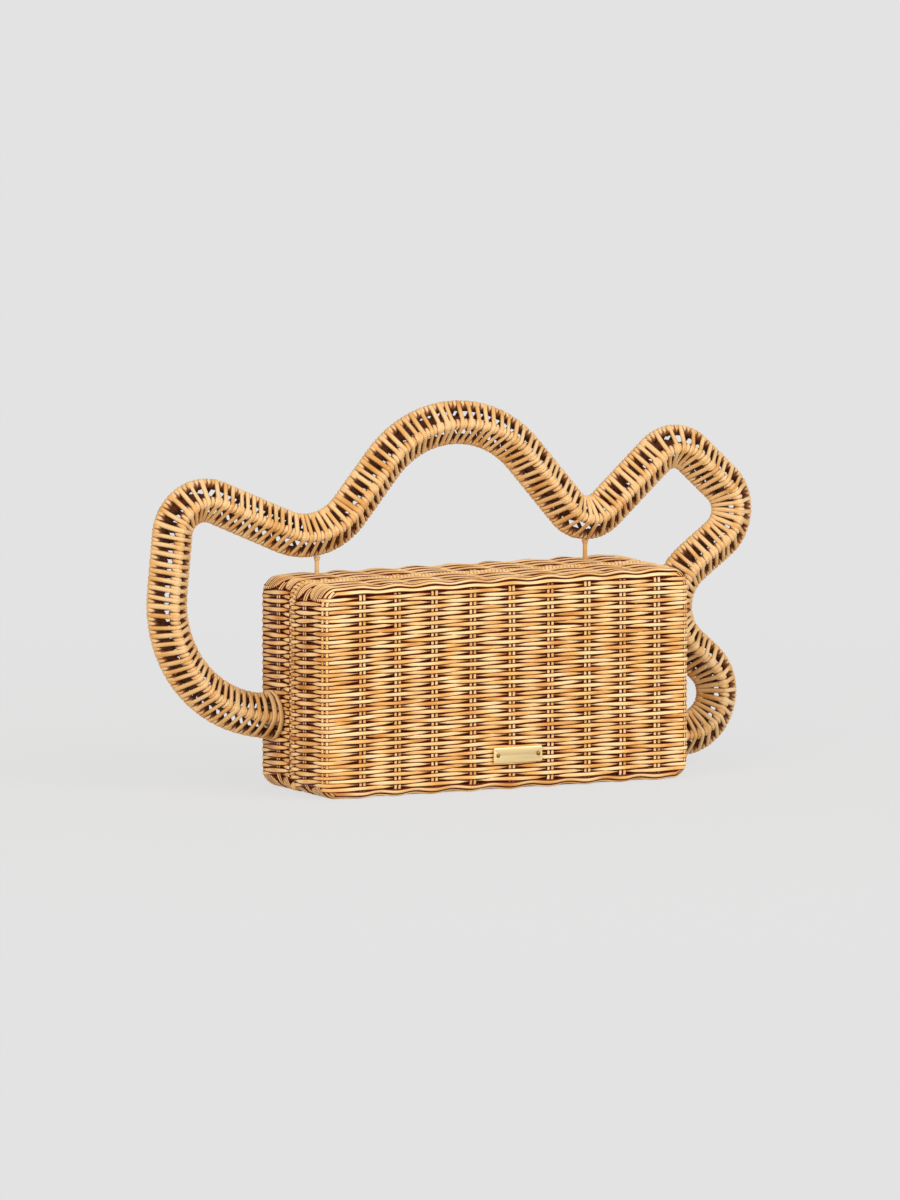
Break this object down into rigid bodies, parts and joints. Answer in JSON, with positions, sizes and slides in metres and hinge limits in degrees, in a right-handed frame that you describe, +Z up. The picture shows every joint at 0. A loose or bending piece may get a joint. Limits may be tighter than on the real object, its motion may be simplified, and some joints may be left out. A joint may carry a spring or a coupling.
{
  "type": "rattan box clutch",
  "caption": "Box clutch woven from rattan: two woven trays hinged along the bottom seam, a winding openwork tube handle on posts, and a small bare plate on the front.",
  "frame": {"origin": "middle of the base, on the seam between the two trays", "axes": "+Z up, +X along the width to the right seen from the front, +Y from the front tray to the back tray"},
  "size_m": [0.3741, 0.0816, 0.21],
  "materials": {
    "woven_cane": "satin, varnished round cane",
    "hinge_cane": "satin, darker cane",
    "plate_brass": "brushed pale brass",
    "magnet_steel": "nickel plated"
  },
  "bodies": {
    "back_half": {"back_shell": "woven_cane", "back_rim": "woven_cane", "back_magnets": "magnet_steel", "hinge_rod": "hinge_cane", "back_hinge_loops": "hinge_cane", "handle_rods": "hinge_cane", "handle_wrap": "woven_cane", "left_post": "hinge_cane", "right_post": "hinge_cane"},
    "front_half": {"front_shell": "woven_cane", "front_rim": "woven_cane", "front_magnets": "magnet_steel", "front_hinge_loops": "hinge_cane", "name_plate": "plate_brass", "plate_tacks": "plate_brass"}
  },
  "joints": [
    {"name": "bottom_hinge", "type": "hinge", "parent": "back_half", "child": "front_half", "pos_m": [0, 0, 0.00425], "axis": [1, 0, 0], "range_deg": [0, 90]}
  ]
}
